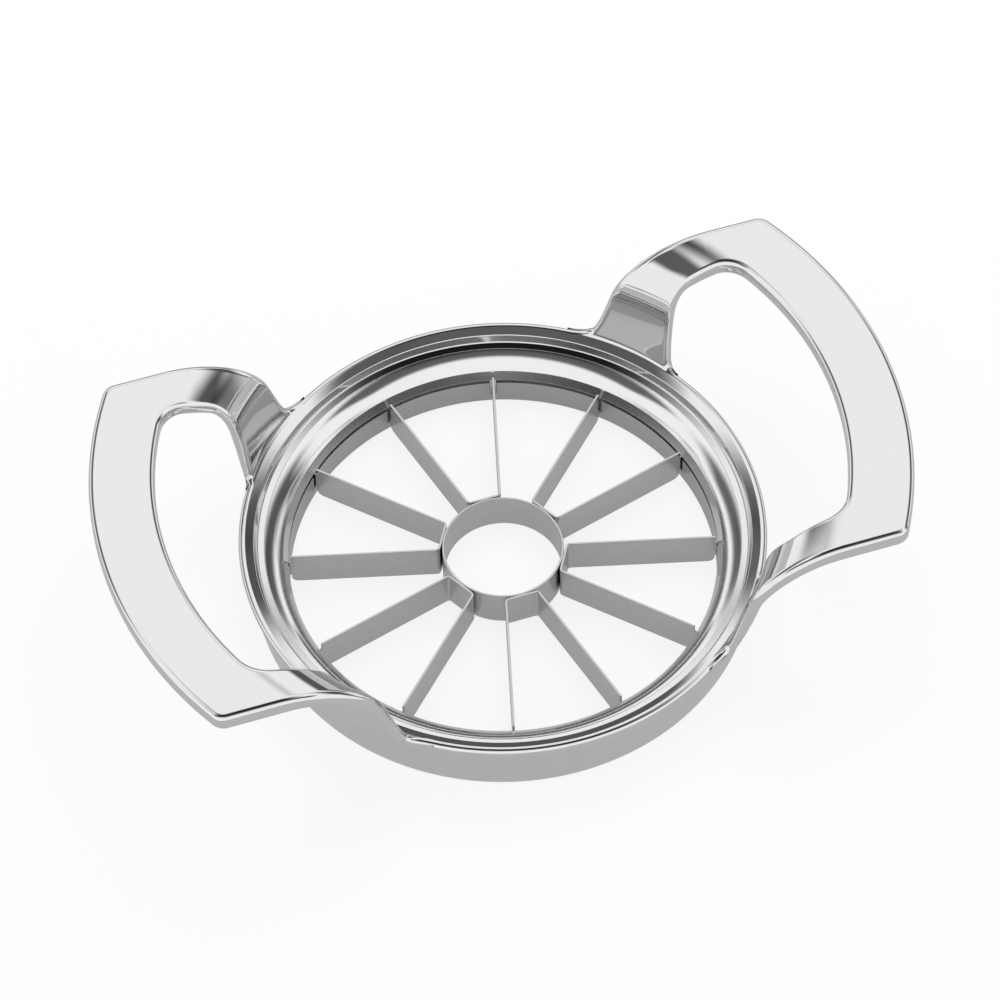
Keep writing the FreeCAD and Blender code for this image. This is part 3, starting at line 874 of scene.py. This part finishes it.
@dataclass
class BladeStrip:
    """One bent strip: a bridge on the core ring and two radial blades."""

    number: int
    core: CoreRing = field(default_factory=CoreRing)
    sheet: float = 0.5
    foot: float = 0.5
    top: float = 9.55
    half_spread: float = 15.0
    bend_inner: float = 0.6
    tab_reach: float = 48.8
    shoulder: float = 47.1
    tab_floor: float = 2.9
    tab_top: float = 7.7
    corner: float = 1.5
    edge: float = 0.06
    bend_segments: int = 8

    def build(self, material: bpy.types.Material) -> bpy.types.Object:
        """Make the strip as one piece."""
        bm = bmesh.new()
        rows = (self.foot, self.tab_floor, self.tab_top, self.top)
        verts = [bm.verts.new((x * MM, y * MM, rows[0] * MM)) for x, y in self.centre_line()]
        level = [bm.edges.new(pair) for pair in zip(verts, verts[1:])]
        for low, high in zip(rows, rows[1:]):
            raised = bmesh.ops.extrude_edge_only(bm, edges=level)["geom"]
            moved = [item for item in raised if isinstance(item, bmesh.types.BMVert)]
            bmesh.ops.translate(bm, vec=(0, 0, (high - low) * MM), verts=moved)
            level = [item for item in raised if isinstance(item, bmesh.types.BMEdge)]
        self.cut_tabs(bm)
        bmesh.ops.recalc_face_normals(bm, faces=bm.faces)
        self.give_sheet(bm)
        self.round_corners(bm)
        break_edges(bm, self.edge * MM, 50.0)
        turn = Matrix.Rotation(math.radians(60 * self.number - 30), 3, "Z")
        bmesh.ops.rotate(bm, cent=(0, 0, 0), matrix=turn, verts=bm.verts)
        piece = finish_mesh(bm, "bent_blade_strip_%d" % self.number)
        place(piece, "blade_strip_%d" % self.number, material)
        return piece

    def centre_line(self) -> list[Point]:
        """Middle line of the sheet seen from above, tab to tab, in millimetres."""
        middle = self.core.radius + self.sheet / 2
        meeting = middle * tangent(self.half_spread)
        bend = self.bend_inner + self.sheet / 2
        across = Vector((cosine(self.half_spread), sine(self.half_spread)))
        tip = across * self.tab_reach
        shoulder = across * self.shoulder
        half = rounded([
            (tip.x, tip.y, 0.0),
            (middle, meeting, bend),
            (middle, 0.0, 0.0)], self.bend_segments)[:-1]
        half.insert(1, (shoulder.x, shoulder.y))
        return half + [(x, -y) for x, y in reversed(half)]

    def cut_tabs(self, bm: bmesh.types.BMesh) -> None:
        """Take the sheet off above and below the tabs."""
        spare = []
        for face in bm.faces:
            middle = face.calc_center_median() / MM
            beyond = math.hypot(middle.x, middle.y) > self.shoulder
            if beyond and not self.tab_floor < middle.z < self.tab_top:
                spare.append(face)
        bmesh.ops.delete(bm, geom=spare, context="FACES")

    def give_sheet(self, bm: bmesh.types.BMesh) -> None:
        """Give the middle sheet its thickness, half on each side."""
        half = self.sheet / 2 * MM
        bm.normal_update()
        shifts = {vert: vert.normal.copy() for vert in bm.verts}
        bmesh.ops.solidify(bm, geom=bm.faces, thickness=self.sheet * MM)
        for vert, normal in shifts.items():
            if vert.is_valid:
                vert.tag = True
        for vert in bm.verts:
            vert.co += self.nearest_normal(vert, shifts) * half
        bmesh.ops.recalc_face_normals(bm, faces=bm.faces)

    @staticmethod
    def nearest_normal(vert: bmesh.types.BMVert, shifts: dict) -> Vector:
        """Normal that the middle sheet had where this vertex stands."""
        best = min(shifts.items(), key=lambda item: (item[0].co - vert.co).length_squared)
        return best[1]

    def round_corners(self, bm: bmesh.types.BMesh) -> None:
        """Round the lower outer corner of both blades."""
        corners = []
        for edge in bm.edges:
            middle = (edge.verts[0].co + edge.verts[1].co) / 2 / MM
            at_shoulder = abs(math.hypot(middle.x, middle.y) - self.shoulder) < 0.1
            at_foot = abs(middle.z - self.foot) < 0.01
            if at_shoulder and at_foot and edge.calc_length() < 1.5 * self.sheet * MM:
                corners.append(edge)
        bmesh.ops.bevel(
            bm, geom=corners, offset=self.corner * MM, offset_type="OFFSET", segments=6,
            profile=0.5, affect="EDGES", material=-1)


def add_node(
    material: bpy.types.Material | bpy.types.World, kind: str, settings: dict | None = None,
    links: dict | None = None
) -> bpy.types.Node:
    """Add one node with its settings and its incoming links.

    Args:
        material: the material or world to add to.
        kind: the node's type name.
        settings: values of properties and of unlinked inputs, by name.
        links: outputs of other nodes, by the name of the input they feed.

    Returns:
        The new node.
    """
    node = material.node_tree.nodes.new(kind)
    for name, value in (settings or {}).items():
        if name in node.inputs:
            node.inputs[name].default_value = value
        else:
            setattr(node, name, value)
    for name, output in (links or {}).items():
        material.node_tree.links.new(output, node.inputs[name])
    return node


def join(
    owner: bpy.types.Material | bpy.types.World, operation: str,
    first: bpy.types.NodeSocket, second: bpy.types.NodeSocket
) -> bpy.types.NodeSocket:
    """Combine two values with one math node.

    Args:
        owner: the material or world to add to.
        operation: the math node's operation.
        first: the first value.
        second: the second value.

    Returns:
        The combined value.
    """
    node = add_node(owner, "ShaderNodeMath", {"operation": operation})
    owner.node_tree.links.new(first, node.inputs[0])
    owner.node_tree.links.new(second, node.inputs[1])
    return node.outputs[0]


@dataclass(frozen=True)
class PolishedMetal:
    """Buffed metal: mirror bright, with the slow waves that hand polishing leaves."""

    name: str
    colour: str
    roughness: float
    roughness_spread: float
    wave_mm: float
    wave_depth_mm: float

    def make(self) -> bpy.types.Material:
        """Make the material."""
        material = bpy.data.materials.new(self.name)
        material.use_nodes = True
        material.node_tree.nodes.clear()
        place_on = add_node(material, "ShaderNodeTexCoord")
        wave = add_node(
            material, "ShaderNodeTexNoise", {"Scale": 1 / (self.wave_mm * MM), "Detail": 2.0},
            {"Vector": place_on.outputs["Object"]})
        bump = add_node(
            material, "ShaderNodeBump", {"Distance": self.wave_depth_mm * MM, "Strength": 1.0},
            {"Height": wave.outputs["Fac"]})
        haze = add_node(
            material, "ShaderNodeTexNoise", {"Scale": 1 / (0.35 * self.wave_mm * MM), "Detail": 4.0},
            {"Vector": place_on.outputs["Object"]})
        rough = add_node(
            material, "ShaderNodeMapRange",
            {"To Min": self.roughness - self.roughness_spread,
             "To Max": self.roughness + self.roughness_spread},
            {"Value": haze.outputs["Fac"]})
        shader = add_node(
            material, "ShaderNodeBsdfPrincipled",
            {"Base Color": linear(self.colour), "Metallic": 1.0},
            {"Roughness": rough.outputs["Result"], "Normal": bump.outputs["Normal"]})
        add_node(
            material, "ShaderNodeOutputMaterial", {}, {"Surface": shader.outputs["BSDF"]})
        return material


@dataclass(frozen=True)
class RolledSteel:
    """Cold rolled stainless strip: satin, with fine level lines from the rolls."""

    name: str
    colour: str
    roughness: float
    line_mm: float
    line_depth_mm: float

    def make(self) -> bpy.types.Material:
        """Make the material."""
        material = bpy.data.materials.new(self.name)
        material.use_nodes = True
        material.node_tree.nodes.clear()
        place_on = add_node(material, "ShaderNodeTexCoord")
        stretch = add_node(
            material, "ShaderNodeMapping",
            {"Scale": (0.02 / (self.line_mm * MM), 0.02 / (self.line_mm * MM), 1 / (self.line_mm * MM))},
            {"Vector": place_on.outputs["Object"]})
        lines = add_node(
            material, "ShaderNodeTexNoise", {"Scale": 1.0, "Detail": 3.0},
            {"Vector": stretch.outputs["Vector"]})
        bump = add_node(
            material, "ShaderNodeBump", {"Distance": self.line_depth_mm * MM, "Strength": 1.0},
            {"Height": lines.outputs["Fac"]})
        rough = add_node(
            material, "ShaderNodeMapRange",
            {"To Min": self.roughness - 0.05, "To Max": self.roughness + 0.05},
            {"Value": lines.outputs["Fac"]})
        shader = add_node(
            material, "ShaderNodeBsdfPrincipled",
            {"Base Color": linear(self.colour), "Metallic": 1.0},
            {"Roughness": rough.outputs["Result"], "Normal": bump.outputs["Normal"]})
        add_node(
            material, "ShaderNodeOutputMaterial", {}, {"Surface": shader.outputs["BSDF"]})
        return material


@dataclass(frozen=True)
class Flag:
    """Dark card far off in the studio, with soft edges, that reflections see.

    Attributes:
        bearing: direction of its middle, in degrees from +X towards +Y.
        elevation: height of its middle above the horizon, in degrees.
        width: tangent of its half width.
        height: tangent of its half height.
        soft: width of its soft edge, as a tangent.
        tone: brightness of its middle, from 0 to 1.
        lean: turn about its middle, in degrees.
    """

    bearing: float
    elevation: float
    width: float
    height: float
    soft: float
    tone: float
    lean: float = 0.0

    def axes(self) -> tuple[Vector, Vector, Vector]:
        """Unit vectors to the middle, along the width and along the height."""
        middle = Vector((
            cosine(self.bearing) * cosine(self.elevation),
            sine(self.bearing) * cosine(self.elevation), sine(self.elevation)))
        side = Vector((-sine(self.bearing), cosine(self.bearing), 0.0))
        lean = Matrix.Rotation(math.radians(self.lean), 3, middle)
        return middle, lean @ side, lean @ middle.cross(side)

    def shade(self, world: bpy.types.World, toward: bpy.types.NodeSocket) -> bpy.types.NodeSocket:
        """Add the flag's nodes.

        Args:
            world: the world to add to.
            toward: the direction that a ray looks in.

        Returns:
            The share of the set's light that is left in that direction.
        """
        parts = []
        for axis in self.axes():
            dot = add_node(
                world, "ShaderNodeVectorMath", {"operation": "DOT_PRODUCT"}, {0: toward})
            dot.inputs[1].default_value = axis
            parts.append(dot.outputs["Value"])
        ahead = add_node(world, "ShaderNodeMath", {"operation": "MAXIMUM"}, {0: parts[0]})
        ahead.inputs[1].default_value = 0.001
        cover = None
        for part, half in zip(parts[1:], (self.width, self.height)):
            offset = join(world, "DIVIDE", part, ahead.outputs[0])
            size = add_node(world, "ShaderNodeMath", {"operation": "ABSOLUTE"}, {0: offset})
            inside = add_node(
                world, "ShaderNodeMapRange",
                {"interpolation_type": "SMOOTHSTEP", "From Min": half + self.soft,
                 "From Max": half - self.soft},
                {"Value": size.outputs[0]})
            share = inside.outputs["Result"]
            cover = share if cover is None else join(world, "MULTIPLY", cover, share)
        left = add_node(
            world, "ShaderNodeMapRange", {"To Min": 1.0, "To Max": self.tone}, {"Value": cover})
        return left.outputs["Result"]


@dataclass(frozen=True)
class Studio:
    """Camera, floor, world and lamps of a white product set."""

    elevation: float = 54.334
    bearing: float = 16.671
    roll: float = 1.336
    distance_mm: float = 1000.0
    shift_right_mm: float = -0.429
    shift_up_mm: float = 15.556
    lift_mm: float = 0.6
    focal_px: float = 4485.993
    frame_px: float = 1000.0
    sensor_mm: float = 36.0
    fill_level: float = 0.6
    floor_seen: float = 1.12
    floor_reflected: float = 0.5

    def camera(self) -> bpy.types.Object:
        """Make the camera at the photograph's viewing angle."""
        back = Vector((0, -cosine(self.elevation), sine(self.elevation)))
        right = Vector((1, 0, 0))
        up = back.cross(right)
        spot = back * self.distance_mm + right * self.shift_right_mm + up * self.shift_up_mm
        turn = Matrix.Rotation(math.radians(-self.bearing), 3, "Z")
        axes = [
            turn @ (right * cosine(self.roll) - up * sine(self.roll)),
            turn @ (right * sine(self.roll) + up * cosine(self.roll)),
            turn @ back]
        place_at = (turn @ spot + Vector((0, 0, self.lift_mm))) * MM
        data = bpy.data.cameras.new("camera")
        data.sensor_width = self.sensor_mm
        data.lens = self.focal_px / self.frame_px * self.sensor_mm
        data.clip_start = 0.05
        data.clip_end = 20.0
        camera = bpy.data.objects.new("camera", data)
        bpy.context.scene.collection.objects.link(camera)
        matrix = Matrix(axes).transposed().to_4x4()
        matrix.translation = place_at
        camera.matrix_world = matrix
        bpy.context.scene.camera = camera
        return camera

    def world(self, flags: Sequence[Flag]) -> None:
        """White set, softer as fill light, with dark flags that only reflections see."""
        world = bpy.data.worlds.new("white_set")
        bpy.context.scene.world = world
        world.use_nodes = True
        world.node_tree.nodes.clear()
        rays = add_node(world, "ShaderNodeLightPath")
        straight = join(world, "MAXIMUM", rays.outputs["Is Camera Ray"], rays.outputs["Is Transmission Ray"])
        toward = add_node(world, "ShaderNodeTexCoord").outputs["Generated"]
        reflected = rays.outputs["Is Glossy Ray"]
        for flag in flags:
            reflected = join(world, "MULTIPLY", reflected, flag.shade(world, toward))
        seen = join(world, "MAXIMUM", straight, reflected)
        fill = add_node(
            world, "ShaderNodeMapRange", {"To Min": self.fill_level, "To Max": 0.0},
            {"Value": join(world, "MAXIMUM", straight, rays.outputs["Is Glossy Ray"])})
        level = join(world, "ADD", seen, fill.outputs["Result"])
        background = add_node(
            world, "ShaderNodeBackground", {"Color": (1.0, 1.0, 1.0, 1.0)}, {"Strength": level})
        add_node(world, "ShaderNodeOutputWorld", {}, {"Surface": background.outputs["Background"]})

    def floor(self) -> bpy.types.Object:
        """Pale floor that is seen white and keeps the object's shadow."""
        bm = bmesh.new()
        bmesh.ops.create_grid(bm, x_segments=1, y_segments=1, size=3.0)
        mesh = bpy.data.meshes.new("floor")
        bm.to_mesh(mesh)
        bm.free()
        floor = bpy.data.objects.new("floor", mesh)
        bpy.context.scene.collection.objects.link(floor)
        material = bpy.data.materials.new("white_paper_floor")
        material.use_nodes = True
        material.node_tree.nodes.clear()
        rays = add_node(material, "ShaderNodeLightPath")
        straight = join(
            material, "MAXIMUM", rays.outputs["Is Camera Ray"], rays.outputs["Is Transmission Ray"])
        seen = join(material, "MAXIMUM", straight, rays.outputs["Is Glossy Ray"])
        share = add_node(
            material, "ShaderNodeMapRange", {"To Min": 0.0, "To Max": 0.72}, {"Value": seen})
        level = add_node(
            material, "ShaderNodeMapRange",
            {"To Min": self.floor_reflected, "To Max": self.floor_seen}, {"Value": straight})
        paper = add_node(material, "ShaderNodeBsdfDiffuse", {"Color": linear("F4F4F4")})
        glow = add_node(
            material, "ShaderNodeEmission", {"Color": (1, 1, 1, 1)},
            {"Strength": level.outputs["Result"]})
        mix = add_node(material, "ShaderNodeMixShader", {}, {"Fac": share.outputs["Result"]})
        material.node_tree.links.new(paper.outputs["BSDF"], mix.inputs[1])
        material.node_tree.links.new(glow.outputs["Emission"], mix.inputs[2])
        add_node(material, "ShaderNodeOutputMaterial", {}, {"Surface": mix.outputs["Shader"]})
        floor.data.materials.append(material)
        return floor

    def lamp(
        self, name: str, bearing: float, elevation: float, distance: float,
        size: float, power: float
    ) -> bpy.types.Object:
        """Add one square soft box that faces the object.

        Args:
            name: the lamp's name.
            bearing: direction of the lamp, in degrees from +X towards +Y.
            elevation: height above the horizon, in degrees.
            distance: distance from the object, in metres.
            size: side of the soft box, in metres.
            power: power in watts.

        Returns:
            The lamp.
        """
        data = bpy.data.lights.new(name, "AREA")
        data.size = size
        data.energy = power
        lamp = bpy.data.objects.new(name, data)
        bpy.context.scene.collection.objects.link(lamp)
        outward = Vector((
            cosine(bearing) * cosine(elevation), sine(bearing) * cosine(elevation), sine(elevation)))
        lamp.location = outward * distance
        lamp.rotation_euler = outward.to_track_quat("Z", "Y").to_euler()
        lamp.visible_glossy = False
        return lamp


FLAGS = (
    Flag(73.0, 82.0, 0.36, 0.26, 0.16, 0.01),
    Flag(-107.0, 77.0, 0.90, 0.26, 0.10, 0.12),
    Flag(20.0, 30.0, 0.42, 0.24, 0.14, 0.10),
    Flag(127.0, 30.0, 0.38, 0.24, 0.14, 0.14),
    Flag(73.0, 4.0, 0.60, 0.16, 0.06, 0.10),
    Flag(-4.0, 8.0, 0.14, 0.32, 0.12, 0.2),
    Flag(-95.0, -8.0, 0.50, 0.20, 0.08, 0.10),
    Flag(75.0, 43.0, 0.9, 0.05, 0.09, 0.62),
)


def main() -> None:
    logging.basicConfig(level=logging.INFO, format="%(name)s: %(message)s")
    bpy.context.scene.view_settings.view_transform = "Standard"
    casting = PolishedMetal("polished_casting", "E9E9EA", 0.06, 0.02, 11.0, 0.03).make()
    collar = PolishedMetal("polished_pressed_steel", "EEEEEE", 0.12, 0.03, 9.0, 0.006).make()
    ring_steel = RolledSteel("satin_ring_steel", "C6C6C7", 0.28, 0.25, 0.004).make()
    blade_steel = RolledSteel("satin_blade_steel", "D6D6D7", 0.26, 0.25, 0.004).make()
    HandleFrame().build(casting)
    Collar().build(collar)
    BladeRing().build(ring_steel)
    CoreRing().build(blade_steel)
    for number in range(1, 7):
        BladeStrip(number).build(blade_steel)
    studio = Studio()
    studio.camera()
    studio.world(FLAGS)
    studio.floor()
    studio.lamp("key_softbox", 60.0, 60.0, 1.0, 0.7, 2.0)


if __name__ == "__main__":
    main()
